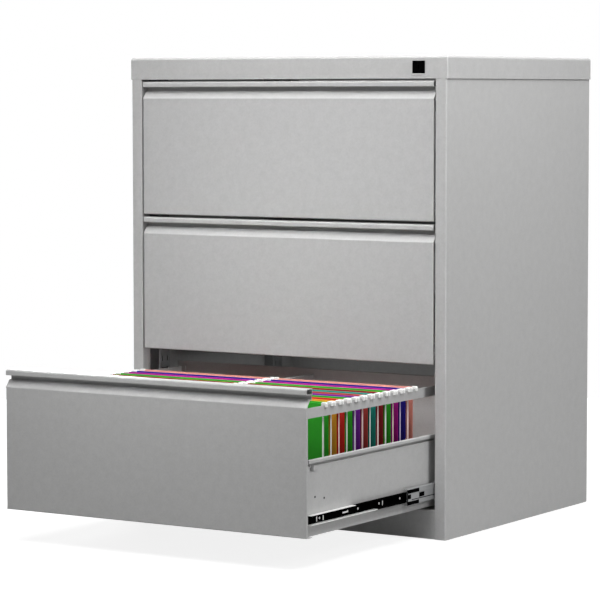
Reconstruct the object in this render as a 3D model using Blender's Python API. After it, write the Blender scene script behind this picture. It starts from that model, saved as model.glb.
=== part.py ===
"""Three-drawer side filing cabinet in folded sheet steel, its lowest drawer pulled out and hung with files.

Metres, +Z up; the drawers open towards -Y and +X is on the right of someone facing the cabinet.
The origin is on the floor, under the middle of the object as it stands with the lowest drawer open.
"""
import math

import bmesh
import bpy
from mathutils import Matrix, Vector

for leftover in list(bpy.data.objects):
    bpy.data.objects.remove(leftover, do_unlink=True)

MM = 0.001

# Cabinet body
CABINET_WIDTH = 808 * MM
CABINET_DEPTH = 662 * MM
CABINET_HEIGHT = 1020 * MM
SHEET = 1.0 * MM
SEAT_GAP = 0.3 * MM
FLOOR_GAP = 2 * MM
TOP_HEIGHT = 48 * MM
TOP_OVERHANG = 2.7 * MM
POST_FACE = 27 * MM
POST_RETURN = 24 * MM
REAR_FLANGE = 22 * MM
PLINTH_HEIGHT = 64 * MM

# Base pan, the feet screwed through it and the weight hung under it
BASE_TOP = 60 * MM
BASE_FLANGE = 45 * MM
BASE_FLANGE_HEIGHT = 12 * MM
BASE_SETBACK = 26 * MM
FOOT_RADIUS = 18 * MM
FOOT_PAD = 8 * MM
FOOT_NECK_RADIUS = 9 * MM
FOOT_INSET = 34 * MM
STUD_RADIUS = 4 * MM
STUD_TOP = 38 * MM
WEIGHT_LENGTH = 680 * MM
WEIGHT_WIDTH = 160 * MM
WEIGHT_THICKNESS = 25 * MM
WEIGHT_SETBACK = 15 * MM

# Uprights that carry the slides
UPRIGHT_WIDTH = 40 * MM
FRONT_UPRIGHT_SETBACK = 65 * MM
REAR_UPRIGHT_SETBACK = 85 * MM

# Drawers
DRAWERS = ("bottom", "middle", "top")
DRAWER_GAP = 6 * MM
LOWEST_GAP = 6.5 * MM
HIGHEST_GAP = 4.5 * MM
FRONT_SIDE_GAP = 3.9 * MM
FRONT_DEPTH = 21 * MM
PULL_LIP = 11.5 * MM
PULL_WALL = 10 * MM
PULL_DEPTH = 18.5 * MM
PULL_HEIGHT = 37 * MM
DRAWER_DEPTH = 612 * MM
DRAWER_SIDE_HEIGHT = 153 * MM
DRAWER_BACK_HEIGHT = 264.5 * MM
HEM_DROP = 9 * MM
HEM_WIDTH = 4 * MM
LINER_DROP = 1 * MM
LINER_INSET = 0.25 * MM
LINER_WELD = 0.5 * MM
DRAWER_OPEN = 496.5 * MM

# Hanging rails
RAIL_THICKNESS = 2 * MM
RAIL_HEIGHT = 20.5 * MM
RAIL_TOP = 252.5 * MM
RAIL_INSET = 10 * MM
CENTRE_RAIL_WIDTH = 10 * MM

# Telescopic slides: channel on the upright, carriage in the middle, runner on the drawer
SLIDE_SPACE = 15 * MM
SLIDE_AXIS = 34 * MM
SLIDE_WALL = 1.2 * MM
BALL_GAP = 0.4 * MM
WEB_GAP = 0.7 * MM
CHANNEL_HEIGHT = 37 * MM
CHANNEL_LIP = 10.7 * MM
CHANNEL_START = 8 * MM
CHANNEL_LENGTH = 632 * MM
CARRIAGE_START = 5 * MM
CARRIAGE_LENGTH = 560 * MM
CARRIAGE_LIP = 8.4 * MM
CARRIAGE_SHARE = 0.23
RUNNER_HEIGHT = 20.4 * MM
RUNNER_START = 16 * MM
RUNNER_LENGTH = 588 * MM

# Lock in the top's front skirt, and the bar that it drops behind the drawers' catches
LOCK_INSET = 67 * MM
LOCK_DROP = 24 * MM
LOCK_PLATE_WIDTH = 29.5 * MM
LOCK_PLATE_HEIGHT = 26.5 * MM
LOCK_PLATE = 1.5 * MM
BARREL_RADIUS = 9.5 * MM
PLUG_RADIUS = 6.4 * MM
PLUG_CLEARANCE = 0.1 * MM
KEYWAY_WIDTH = 2 * MM
KEYWAY_HEIGHT = 8 * MM
KEYWAY_DEPTH = 6 * MM
TAIL_RADIUS = 4 * MM
CAM_HUB_RADIUS = 7.5 * MM
CAM_THICKNESS = 2 * MM
CAM_THROW = 12 * MM
CAM_TURN = math.radians(90)
CAM_PIN_RADIUS = 2.4 * MM
CAM_PIN_PLAY = 0.5 * MM
CAM_PIN_EDGE = 1.2 * MM
CAM_BAR_GAP = 1.7 * MM
BAR_SETBACK = 3 * MM
BAR_THICKNESS = 3 * MM
BAR_WIDTH = 10 * MM
BAR_ARM_HEIGHT = 13 * MM
TONGUE_HEIGHT = 8 * MM
TONGUE_CLEARANCE = 4 * MM
CATCH_HEIGHT = 12 * MM
CATCH_LEVEL = 130 * MM
CATCH_REACH = 8 * MM
CATCH_LENGTH = 25 * MM
CATCH_PLAY = 1 * MM
CATCH_LIFT = 3 * MM

# Hanging files, two columns of them
FILE_COUNT = 12
FILE_PITCH = 30.4 * MM
FIRST_FILE = 101 * MM
FILE_CARD = 1.2 * MM
FILE_MOUTH = 25 * MM
FILE_DROP = 238 * MM
FILE_FOOT = 14 * MM
PAGES_DEPTH = 9 * MM
PAGES_DROP = 22 * MM
ROD_WIDTH = 3 * MM
ROD_HEIGHT = 4 * MM
ROD_OVERHANG = 4 * MM
ROD_END_GAP = 0.6 * MM
LINK_THICKNESS = 1.5 * MM
FILE_END_GAP = 5 * MM

# Finishes: colour, roughness, metallic
GREY_PAINT = ((0.47, 0.47, 0.47), 0.5, 0.0)
BLACK_PAINT = ((0.012, 0.012, 0.012), 0.35, 0.0)
ZINC = ((0.52, 0.53, 0.54), 0.35, 0.9)
BLACK_PLASTIC = ((0.01, 0.01, 0.01), 0.4, 0.0)
RAW_STEEL = ((0.2, 0.2, 0.2), 0.6, 0.8)
GREEN_CARD = ((0.06, 0.3, 0.06), 0.8, 0.0)

# Lines that the pieces share
half_width = CABINET_WIDTH / 2
front = (DRAWER_OPEN - CABINET_DEPTH) / 2
back = front + CABINET_DEPTH
top_underside = CABINET_HEIGHT - SHEET - SEAT_GAP
post_top = CABINET_HEIGHT - TOP_HEIGHT - SEAT_GAP
opening_half = half_width - POST_FACE
wall_inside = half_width - SHEET
base_half = wall_inside - SEAT_GAP
base_front = front + BASE_SETBACK
base_back = back - 2 * (SHEET + SEAT_GAP)
fronts_height = CABINET_HEIGHT - TOP_HEIGHT - PLINTH_HEIGHT
fronts_height -= LOWEST_GAP + HIGHEST_GAP + DRAWER_GAP * (len(DRAWERS) - 1)
front_height = fronts_height / len(DRAWERS)
drawer_pitch = front_height + DRAWER_GAP
drawer_half = opening_half - SLIDE_SPACE
drawer_inside = drawer_half - SHEET


def finish(name, look):
    """Gives one piece its own paint, plating, plastic or card."""
    colour, roughness, metallic = look
    material = bpy.data.materials.new(name)
    material.use_nodes = True
    shader = material.node_tree.nodes["Principled BSDF"]
    shader.inputs["Base Color"].default_value = (*colour, 1.0)
    shader.inputs["Roughness"].default_value = roughness
    shader.inputs["Metallic"].default_value = metallic
    return material


def frame(name, place, parent=None):
    """An empty that a group of pieces is placed by, on the axis that the group moves along."""
    empty = bpy.data.objects.new(name, None)
    empty.location = place
    empty.parent = parent
    bpy.context.scene.collection.objects.link(empty)
    return empty


def piece(name, shape, look, parent, smooth=False):
    """Turns a finished bmesh into a named object under its frame."""
    bmesh.ops.recalc_face_normals(shape, faces=shape.faces)
    mesh = bpy.data.meshes.new(name)
    shape.to_mesh(mesh)
    shape.free()
    if smooth:
        mesh.shade_smooth()
        mesh.set_sharp_from_angle(angle=math.radians(35))
    mesh.materials.append(finish(name, look))
    body = bpy.data.objects.new(name, mesh)
    body.parent = parent
    bpy.context.scene.collection.objects.link(body)
    return body


def spread(axis, across, up, along):
    """Puts a cross-section point and a distance along the bar into X, Y, Z order."""
    if axis == "X":
        return Vector((along, across, up))
    if axis == "Y":
        return Vector((across, along, up))
    return Vector((across, up, along))


def bar(name, outline, axis, start, end, look, parent):
    """A straight bar: a closed outline drawn out along one axis. Outlines are (Y, Z), (X, Z) or (X, Y)."""
    shape = bmesh.new()
    corners = [shape.verts.new(spread(axis, across, up, start)) for across, up in outline]
    drawn = bmesh.ops.extrude_face_region(shape, geom=[shape.faces.new(corners)])
    moved = [item for item in drawn["geom"] if isinstance(item, bmesh.types.BMVert)]
    bmesh.ops.translate(shape, verts=moved, vec=spread(axis, 0, 0, end - start))
    return piece(name, shape, look, parent)


def block(name, low, high, look, parent):
    """A plain block between two corners."""
    outline = [(low[0], low[1]), (high[0], low[1]), (high[0], high[1]), (low[0], high[1])]
    return bar(name, outline, "Z", low[2], high[2], look, parent)


def folded(path, thickness):
    """The outline of a sheet bent along a path, with its thickness on the left of the way along it."""
    points = [Vector(point) for point in path]
    turned_left = []
    for here, there in zip(points, points[1:]):
        along = (there - here).normalized()
        turned_left.append(Vector((-along.y, along.x)))
    offset = []
    for index, point in enumerate(points):
        before = turned_left[max(index - 1, 0)]
        after = turned_left[min(index, len(turned_left) - 1)]
        mitre = (before + after) / (1 + before.dot(after))
        offset.append(point + mitre * thickness)
    return [tuple(point) for point in points + offset[::-1]]


def mirrored(outline):
    """The same outline on the cabinet's other side."""
    return [(-across, up) for across, up in outline]


def round_bar(name, radius, start, end, look, parent, centre=(0, 0), sides=40):
    """A round bar along Y, about a centre given as (X, Z)."""
    shape = bmesh.new()
    bmesh.ops.create_cone(
        shape, cap_ends=True, segments=sides, radius1=radius, radius2=radius, depth=end - start)
    bmesh.ops.rotate(shape, verts=shape.verts, matrix=Matrix.Rotation(math.radians(90), 3, "X"))
    middle = Vector((centre[0], (start + end) / 2, centre[1]))
    bmesh.ops.translate(shape, verts=shape.verts, vec=middle)
    return piece(name, shape, look, parent, smooth=True)


def shape_with(body, other, operation):
    """Joins another solid to a body, or cuts it away, and leaves that other solid as a hidden guide."""
    change = body.modifiers.new(operation.lower(), "BOOLEAN")
    change.operation = operation
    change.object = other
    other.hide_render = True
    other.display_type = "WIRE"


cabinet = frame("cabinet", (0, 0, 0))

# Side panels: one sheet each, folded into the front post, its return and the rear flange
post_cut_depth = SHEET + SEAT_GAP
for side, sign in (("left", -1), ("right", 1)):
    rear = base_back + SHEET + SEAT_GAP
    path = [
        (opening_half, front + POST_RETURN),
        (opening_half, front),
        (half_width, front),
        (half_width, rear),
        (half_width - REAR_FLANGE, rear),
    ]
    outline = folded(path, SHEET)
    if side == "left":
        outline = mirrored(outline)
    panel = bar(f"{side}_side_panel", outline, "Z", FLOOR_GAP, top_underside, GREY_PAINT, cabinet)
    low = (sign * (half_width - POST_FACE / 2) - POST_FACE, front - SHEET, post_top)
    high = (sign * (half_width - POST_FACE / 2) + POST_FACE, front + post_cut_depth, CABINET_HEIGHT)
    shape_with(panel, block(f"{side}_post_cut", low, high, GREY_PAINT, cabinet), "DIFFERENCE")

# Back panel, screwed over the rear flanges
low = (-base_half, back - SHEET, FLOOR_GAP)
high = (base_half, back, post_top)
block("back_panel", low, high, GREY_PAINT, cabinet)

# Top: a shallow pressed lid whose front skirt is flush with the posts
shape = bmesh.new()
top_half = half_width + TOP_OVERHANG
skirt_low = CABINET_HEIGHT - TOP_HEIGHT
corners = [(-top_half, front), (top_half, front), (top_half, back), (-top_half, back)]
upper = [shape.verts.new((x, y, CABINET_HEIGHT)) for x, y in corners]
lower = [shape.verts.new((x, y, skirt_low)) for x, y in corners]
shape.faces.new(upper)
for index in range(len(corners)):
    following = (index + 1) % len(corners)
    shape.faces.new((lower[index], lower[following], upper[following], upper[index]))
top_cover = piece("top_cover", shape, GREY_PAINT, cabinet)
pressing = top_cover.modifiers.new("sheet", "SOLIDIFY")
pressing.thickness = SHEET
pressing.offset = -1
pressing.use_even_offset = True
pressing.use_quality_normals = True

# Plinth rail between the posts
plinth_back = base_front - SEAT_GAP
plinth_path = [
    (plinth_back, FLOOR_GAP),
    (front, FLOOR_GAP),
    (front, PLINTH_HEIGHT),
    (plinth_back, PLINTH_HEIGHT),
]
plinth_half = opening_half - SEAT_GAP
plinth_outline = folded(plinth_path[::-1], SHEET)
bar("plinth_rail", plinth_outline, "X", -plinth_half, plinth_half, GREY_PAINT, cabinet)

# Base pan: a wide channel with its flanges turned in near the floor
flange_inside = base_half - BASE_FLANGE
base_path = [
    (flange_inside, BASE_FLANGE_HEIGHT),
    (base_half, BASE_FLANGE_HEIGHT),
    (base_half, BASE_TOP),
    (-base_half, BASE_TOP),
    (-base_half, BASE_FLANGE_HEIGHT),
    (-flange_inside, BASE_FLANGE_HEIGHT),
]
base_pan = bar("base_pan", folded(base_path, SHEET), "Y", base_front, base_back, GREY_PAINT, cabinet)

# Levelling feet: a moulded pad on a stud, one near each corner of the base pan
foot_profile = [
    (0, 0),
    (FOOT_RADIUS, 0),
    (FOOT_RADIUS, FOOT_PAD),
    (FOOT_NECK_RADIUS, BASE_FLANGE_HEIGHT - SEAT_GAP),
    (STUD_RADIUS, BASE_FLANGE_HEIGHT - SEAT_GAP),
    (STUD_RADIUS, STUD_TOP),
    (0, STUD_TOP),
]
foot_x = base_half - BASE_FLANGE / 2
for end, foot_y in (("front", base_front + FOOT_INSET), ("rear", base_back - FOOT_INSET)):
    for side, sign in (("left", -1), ("right", 1)):
        spot = frame(f"{end}_{side}_foot_spot", (sign * foot_x, foot_y, 0), cabinet)
        shape = bmesh.new()
        line = [shape.verts.new((radius, 0, height)) for radius, height in foot_profile]
        edges = [shape.edges.new(pair) for pair in zip(line, line[1:])]
        bmesh.ops.spin(
            shape, geom=line + edges, axis=(0, 0, 1), cent=(0, 0, 0), steps=24, angle=math.tau)
        bmesh.ops.remove_doubles(shape, verts=shape.verts, dist=0.01 * MM)
        bmesh.ops.dissolve_limit(
            shape, angle_limit=math.radians(1), verts=shape.verts, edges=shape.edges)
        piece(f"{end}_{side}_foot", shape, BLACK_PLASTIC, spot, smooth=True)
        shape = bmesh.new()
        hole_radius = STUD_RADIUS + SEAT_GAP
        bmesh.ops.create_cone(
            shape, cap_ends=True, segments=24, radius1=hole_radius, radius2=hole_radius, depth=FOOT_PAD)
        bmesh.ops.translate(shape, verts=shape.verts, vec=(0, 0, BASE_FLANGE_HEIGHT))
        shape_with(base_pan, piece(f"{end}_{side}_stud_hole", shape, GREY_PAINT, spot), "DIFFERENCE")

# Weight hung under the rear of the base pan, which steadies the cabinet when a drawer is out
weight_back = base_back - WEIGHT_SETBACK
weight_top = BASE_TOP - SHEET - SEAT_GAP
low = (-WEIGHT_LENGTH / 2, weight_back - WEIGHT_WIDTH, weight_top - WEIGHT_THICKNESS)
high = (WEIGHT_LENGTH / 2, weight_back, weight_top)
block("counterweight", low, high, RAW_STEEL, cabinet)

# Uprights: channels welded inside the side panels, whose faces carry the slides
upright_starts = {
    "front": front + FRONT_UPRIGHT_SETBACK,
    "rear": back - REAR_UPRIGHT_SETBACK - UPRIGHT_WIDTH,
}
for end, start in upright_starts.items():
    path = [
        (base_half, start),
        (opening_half, start),
        (opening_half, start + UPRIGHT_WIDTH),
        (base_half, start + UPRIGHT_WIDTH),
    ]
    outline = folded(path[::-1], SHEET)
    foot = BASE_TOP + SEAT_GAP
    bar(f"{end}_right_upright", outline, "Z", foot, top_underside, ZINC, cabinet)
    bar(f"{end}_left_upright", mirrored(outline), "Z", foot, top_underside, ZINC, cabinet)

# Cross-sections of the telescopic slide, from the upright's face inwards
half_channel = CHANNEL_HEIGHT / 2
channel_back = opening_half - SEAT_GAP
channel_mouth = channel_back - CHANNEL_LIP
channel_section = folded([
    (channel_mouth, -half_channel),
    (channel_back, -half_channel),
    (channel_back, half_channel),
    (channel_mouth, half_channel),
], SLIDE_WALL)
carriage_back = channel_back - SLIDE_WALL - WEB_GAP
carriage_web = carriage_back - SLIDE_WALL
carriage_mouth = carriage_back - CARRIAGE_LIP
carriage_outer = half_channel - SLIDE_WALL - BALL_GAP
half_runner = RUNNER_HEIGHT / 2
carriage_inner = half_runner + BALL_GAP
lip_heights = [
    carriage_outer,
    carriage_outer - SLIDE_WALL,
    carriage_inner + SLIDE_WALL,
    carriage_inner,
]
comb = [
    (carriage_mouth, lip_heights[0]),
    (carriage_mouth, lip_heights[1]),
    (carriage_web, lip_heights[1]),
    (carriage_web, lip_heights[2]),
    (carriage_mouth, lip_heights[2]),
    (carriage_mouth, lip_heights[3]),
    (carriage_web, lip_heights[3]),
]
carriage_section = [(carriage_back, carriage_outer)] + comb
carriage_section += [(across, -up) for across, up in comb[::-1]] + [(carriage_back, -carriage_outer)]
runner_web = drawer_half + SEAT_GAP
runner_mouth = carriage_web - WEB_GAP
runner_section = folded([
    (runner_mouth, half_runner),
    (runner_web, half_runner),
    (runner_web, -half_runner),
    (runner_mouth, -half_runner),
], SLIDE_WALL)


def slide_pair(stem, section, start, length, level, look, parent):
    """The left and right lengths of one member of a slide."""
    raised = [(across, up + level) for across, up in section]
    bar(f"{stem}_right", raised, "Y", start, start + length, look, parent)
    bar(f"{stem}_left", mirrored(raised), "Y", start, start + length, look, parent)


# Where the lock bar hangs: just behind the post's return, in the middle of the post
bar_front = POST_RETURN + BAR_SETBACK
bar_back = bar_front + BAR_THICKNESS
catch_front = bar_back + CATCH_PLAY

# The drawer front's outline: bottom flange, face, slope and back of the pull, rolled lip and top flange
face_top = front_height - PULL_HEIGHT
lip_low = front_height - PULL_LIP
front_path = [
    (FRONT_DEPTH, 0),
    (0, 0),
    (0, face_top),
    (PULL_DEPTH, lip_low - PULL_WALL),
    (PULL_DEPTH, lip_low),
    (0, lip_low),
    (0, front_height),
    (FRONT_DEPTH, front_height),
]
front_section = folded(front_path[::-1], SHEET)
front_half = opening_half - FRONT_SIDE_GAP

# The tray's outline: low sides with a rolled hem, and the floor between them
hem_edge = drawer_inside + HEM_WIDTH
tray_half = [
    (hem_edge, DRAWER_SIDE_HEIGHT - HEM_DROP),
    (hem_edge, DRAWER_SIDE_HEIGHT),
    (drawer_inside, DRAWER_SIDE_HEIGHT),
    (drawer_inside, SHEET),
]
tray_section = folded(tray_half + mirrored(tray_half[::-1]), SHEET)
tray_front = FRONT_DEPTH + SEAT_GAP
tray_back = DRAWER_DEPTH - SHEET - SEAT_GAP
liner_front = tray_front + LINER_INSET
liner_back = liner_front + SHEET
rail_front = liner_back + SEAT_GAP
rail_x = drawer_inside - RAIL_INSET
rail_half = RAIL_THICKNESS / 2
rail_bottom = RAIL_TOP - RAIL_HEIGHT
centre_half = CENTRE_RAIL_WIDTH / 2
centre_rail_section = folded([
    (centre_half, rail_bottom),
    (centre_half, RAIL_TOP),
    (-centre_half, RAIL_TOP),
    (-centre_half, rail_bottom),
], RAIL_THICKNESS)

# Drawers, each with the carriages that follow it out
drawer_frames = {}
for index, drawer in enumerate(DRAWERS):
    level = PLINTH_HEIGHT + LOWEST_GAP + index * drawer_pitch
    out = DRAWER_OPEN if drawer == "bottom" else 0
    closed_place = Vector((0, front, level))
    slides = frame(f"{drawer}_slides", closed_place, cabinet)
    slide_pair(f"{drawer}_channel", channel_section, CHANNEL_START, CHANNEL_LENGTH, SLIDE_AXIS, ZINC, slides)
    rolling = frame(f"{drawer}_rolling", closed_place - Vector((0, out * CARRIAGE_SHARE, 0)), cabinet)
    slide_pair(
        f"{drawer}_carriage", carriage_section, CARRIAGE_START, CARRIAGE_LENGTH, SLIDE_AXIS, ZINC, rolling)
    box = frame(f"{drawer}_drawer", closed_place - Vector((0, out, 0)), cabinet)
    drawer_frames[drawer] = box
    slide_pair(f"{drawer}_runner", runner_section, RUNNER_START, RUNNER_LENGTH, SLIDE_AXIS, BLACK_PAINT, box)
    bar(f"{drawer}_front", front_section, "X", -front_half, front_half, GREY_PAINT, box)
    tray = bar(f"{drawer}_tray", tray_section, "Y", tray_front, tray_back, GREY_PAINT, box)
    low = (-drawer_half + LINER_WELD, liner_front, LINER_WELD)
    high = (drawer_half - LINER_WELD, liner_back, front_height - LINER_DROP)
    shape_with(tray, block(f"{drawer}_liner", low, high, GREY_PAINT, box), "UNION")
    low = (-drawer_half, DRAWER_DEPTH - SHEET, 0)
    high = (drawer_half, DRAWER_DEPTH, DRAWER_BACK_HEIGHT)
    block(f"{drawer}_back", low, high, GREY_PAINT, box)
    for rail, middle in (("left", -rail_x), ("right", rail_x)):
        low = (middle - rail_half, rail_front, rail_bottom)
        high = (middle + rail_half, tray_back, RAIL_TOP)
        block(f"{drawer}_rail_{rail}", low, high, GREY_PAINT, box)
    bar(f"{drawer}_rail_centre", centre_rail_section, "Y", rail_front, tray_back, GREY_PAINT, box)
    catch_path = [
        (drawer_half + CATCH_REACH, catch_front),
        (runner_web, catch_front),
        (runner_web, catch_front + CATCH_LENGTH),
    ]
    bar(f"{drawer}_catch", folded(catch_path[::-1], SLIDE_WALL), "Z",
        CATCH_LEVEL, CATCH_LEVEL + CATCH_HEIGHT, GREY_PAINT, box)

# Hanging files in the open drawer: linked card pockets with pages in them, hung by rods on the rails
rod_low = RAIL_TOP + SEAT_GAP
rod_high = rod_low + ROD_HEIGHT
file_bottom = RAIL_TOP - FILE_DROP
file_foot = file_bottom + FILE_FOOT
pages_top = RAIL_TOP - PAGES_DROP
link_low = RAIL_TOP - LINK_THICKNESS
upper_side = []
lower_side = []
for index in range(FILE_COUNT):
    near = FIRST_FILE + index * FILE_PITCH
    far = near + FILE_MOUTH
    filled = near + FILE_CARD + PAGES_DEPTH
    upper_side += [
        (near, rod_high),
        (near + ROD_WIDTH, rod_high),
        (near + ROD_WIDTH, rod_low),
        (near + FILE_CARD, link_low),
        (near + FILE_CARD, pages_top),
        (filled, pages_top),
        (filled, file_foot),
        (far - FILE_CARD, file_foot),
        (far - FILE_CARD, link_low),
        (far - ROD_WIDTH, rod_low),
        (far - ROD_WIDTH, rod_high),
        (far, rod_high),
    ]
    lower_side += [
        (near, link_low),
        (near, file_foot),
        (near + FILE_MOUTH / 2, file_bottom),
        (far, file_foot),
        (far, link_low),
    ]
    if index < FILE_COUNT - 1:
        upper_side += [(far, RAIL_TOP), (near + FILE_PITCH, RAIL_TOP)]
files_section = upper_side + lower_side[::-1]
for side, sign in (("left", -1), ("right", 1)):
    inner_end = sign * ROD_END_GAP
    outer_end = sign * (rail_x + rail_half + ROD_OVERHANG)
    inner_pocket = sign * (centre_half + FILE_END_GAP)
    outer_pocket = sign * (rail_x - rail_half - FILE_END_GAP)
    files = bar(f"hanging_files_{side}", files_section, "X", min(inner_end, outer_end),
                max(inner_end, outer_end), GREEN_CARD, drawer_frames["bottom"])
    for place, pocket, beyond in (("inner", inner_pocket, 0), ("outer", outer_pocket, sign * drawer_half)):
        low = (min(pocket, beyond), 0, 0)
        high = (max(pocket, beyond), DRAWER_DEPTH, rod_low)
        clear = block(f"{side}_{place}_rail_space", low, high, GREEN_CARD, drawer_frames["bottom"])
        shape_with(files, clear, "DIFFERENCE")

# Lock: a square-faced barrel in the top's front skirt, its plug, and the cam on the plug's tail
lock_x = half_width - LOCK_INSET
lock_z = CABINET_HEIGHT - LOCK_DROP
lock = frame("lock", (lock_x, front, lock_z), cabinet)
plate_back = -SEAT_GAP
plate_front = plate_back - LOCK_PLATE
cam_back = bar_front - CAM_BAR_GAP
cam_front = cam_back - CAM_THICKNESS
plug_back = cam_front - SEAT_GAP
barrel_back = plug_back - SHEET
low = (-LOCK_PLATE_WIDTH / 2, plate_front, -LOCK_PLATE_HEIGHT / 2)
high = (LOCK_PLATE_WIDTH / 2, plate_back, LOCK_PLATE_HEIGHT / 2)
housing = block("lock_housing", low, high, BLACK_PLASTIC, lock)
barrel_front = plate_front + LOCK_PLATE / 2
barrel = round_bar("lock_barrel", BARREL_RADIUS, barrel_front, barrel_back, BLACK_PLASTIC, lock)
shape_with(housing, barrel, "UNION")
bore_radius = PLUG_RADIUS + PLUG_CLEARANCE
bore = round_bar("lock_bore", bore_radius, plate_front - SHEET, plug_back, BLACK_PLASTIC, lock)
shape_with(housing, bore, "DIFFERENCE")
hole = round_bar("lock_hole", BARREL_RADIUS + SEAT_GAP, plate_front, barrel_back, GREY_PAINT, lock)
shape_with(top_cover, hole, "DIFFERENCE")

plug = round_bar("lock_plug", PLUG_RADIUS, plate_front, plug_back, BLACK_PLASTIC, lock)
tail = round_bar("lock_tail", TAIL_RADIUS, barrel_back, cam_back, BLACK_PLASTIC, lock)
shape_with(plug, tail, "UNION")
low = (-KEYWAY_WIDTH / 2, plate_front - SHEET, -KEYWAY_HEIGHT / 2)
high = (KEYWAY_WIDTH / 2, plate_front + KEYWAY_DEPTH, KEYWAY_HEIGHT / 2)
shape_with(plug, block("lock_keyway", low, high, BLACK_PLASTIC, lock), "DIFFERENCE")

cam_angle = CAM_TURN / 2
pin_x = CAM_THROW * math.cos(cam_angle)
pin_z = CAM_THROW * math.sin(cam_angle)
cam = round_bar("lock_cam", CAM_HUB_RADIUS, cam_front, cam_back, ZINC, lock)
arm_side = CAM_PIN_RADIUS + CAM_PIN_EDGE
lean = Vector((math.cos(cam_angle), math.sin(cam_angle)))
across = Vector((-lean.y, lean.x)) * arm_side
pin_middle = Vector((pin_x, pin_z))
arm_end = pin_middle + lean * arm_side
arm_outline = [tuple(across), tuple(-across), tuple(arm_end - across), tuple(arm_end + across)]
arm = bar("lock_cam_arm", arm_outline, "Y", cam_front, cam_back, ZINC, lock)
shape_with(cam, arm, "UNION")
pin_front = cam_front + CAM_THICKNESS / 2
pin = round_bar(
    "lock_cam_pin", CAM_PIN_RADIUS, pin_front, bar_back, ZINC, lock, centre=(pin_x, pin_z), sides=24)
shape_with(cam, pin, "UNION")
tail_hole = round_bar("lock_cam_hole", TAIL_RADIUS + SEAT_GAP, plug_back, bar_front, ZINC, lock)
shape_with(cam, tail_hole, "DIFFERENCE")

# Lock bar: one flat plate, with an arm that the cam's pin lifts and a tongue for each drawer
post_middle = half_width - POST_FACE / 2
bar_left = post_middle - BAR_WIDTH / 2 - lock_x
bar_right = bar_left + BAR_WIDTH
tongue_tip = drawer_half + TONGUE_CLEARANCE - lock_x
slot_half = CAM_PIN_RADIUS + CAM_PIN_PLAY
slot_left = pin_x - slot_half
slot_right = CAM_THROW + slot_half
arm_tip = slot_left - BAR_WIDTH / 2
arm_top = pin_z + BAR_ARM_HEIGHT / 2
arm_bottom = pin_z - BAR_ARM_HEIGHT / 2
bar_outline = [(arm_tip, arm_bottom), (arm_tip, arm_top), (bar_right, arm_top)]
left_edge = []
for index in range(len(DRAWERS)):
    catch_top = PLINTH_HEIGHT + LOWEST_GAP + index * drawer_pitch + CATCH_LEVEL + CATCH_HEIGHT
    tongue_low = catch_top + CATCH_LIFT - lock_z
    tongue_high = tongue_low + TONGUE_HEIGHT
    if index == 0:
        bar_outline.append((bar_right, tongue_low))
    else:
        left_edge.append((bar_left, tongue_low))
    left_edge += [(tongue_tip, tongue_low), (tongue_tip, tongue_high), (bar_left, tongue_high)]
bar_outline += left_edge + [(bar_left, arm_bottom)]
lock_bar = bar("lock_bar", bar_outline, "Y", bar_front, bar_back, ZINC, lock)
low = (slot_left, bar_front - SHEET, pin_z - slot_half)
high = (slot_right, bar_back + SHEET, pin_z + slot_half)
shape_with(lock_bar, block("lock_bar_slot", low, high, ZINC, lock), "DIFFERENCE")
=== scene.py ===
"""Looks of a three-drawer side filing cabinet, its lowest drawer open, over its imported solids."""
import math

import bmesh
import bpy
from mathutils import Matrix, Vector


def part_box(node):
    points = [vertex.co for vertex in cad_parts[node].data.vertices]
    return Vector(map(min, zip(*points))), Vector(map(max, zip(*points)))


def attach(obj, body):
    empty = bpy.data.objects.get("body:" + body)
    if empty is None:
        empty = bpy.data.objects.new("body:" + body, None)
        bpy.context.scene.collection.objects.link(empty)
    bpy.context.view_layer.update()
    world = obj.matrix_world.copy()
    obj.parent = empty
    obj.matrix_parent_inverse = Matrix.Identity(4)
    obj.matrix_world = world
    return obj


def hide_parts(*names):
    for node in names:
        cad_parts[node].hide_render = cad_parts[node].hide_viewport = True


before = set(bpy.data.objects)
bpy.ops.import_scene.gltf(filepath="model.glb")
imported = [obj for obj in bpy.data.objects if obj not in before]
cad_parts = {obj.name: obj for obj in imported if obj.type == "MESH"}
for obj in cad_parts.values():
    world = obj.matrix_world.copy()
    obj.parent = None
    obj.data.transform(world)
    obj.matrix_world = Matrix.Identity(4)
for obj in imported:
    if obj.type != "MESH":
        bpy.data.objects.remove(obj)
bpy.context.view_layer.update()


# Base pan, counterweight and feet. The pan is sheet steel folded into a wide channel and powder
# coated; a rolled steel bar hangs under its rear, and a moulded foot on a stud is screwed into
# each corner.
CLOUD_SIZE = 0.016
GRAIN_LOW = 0.3
GRAIN_HIGH = 0.7
DULLING = 0.1


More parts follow.
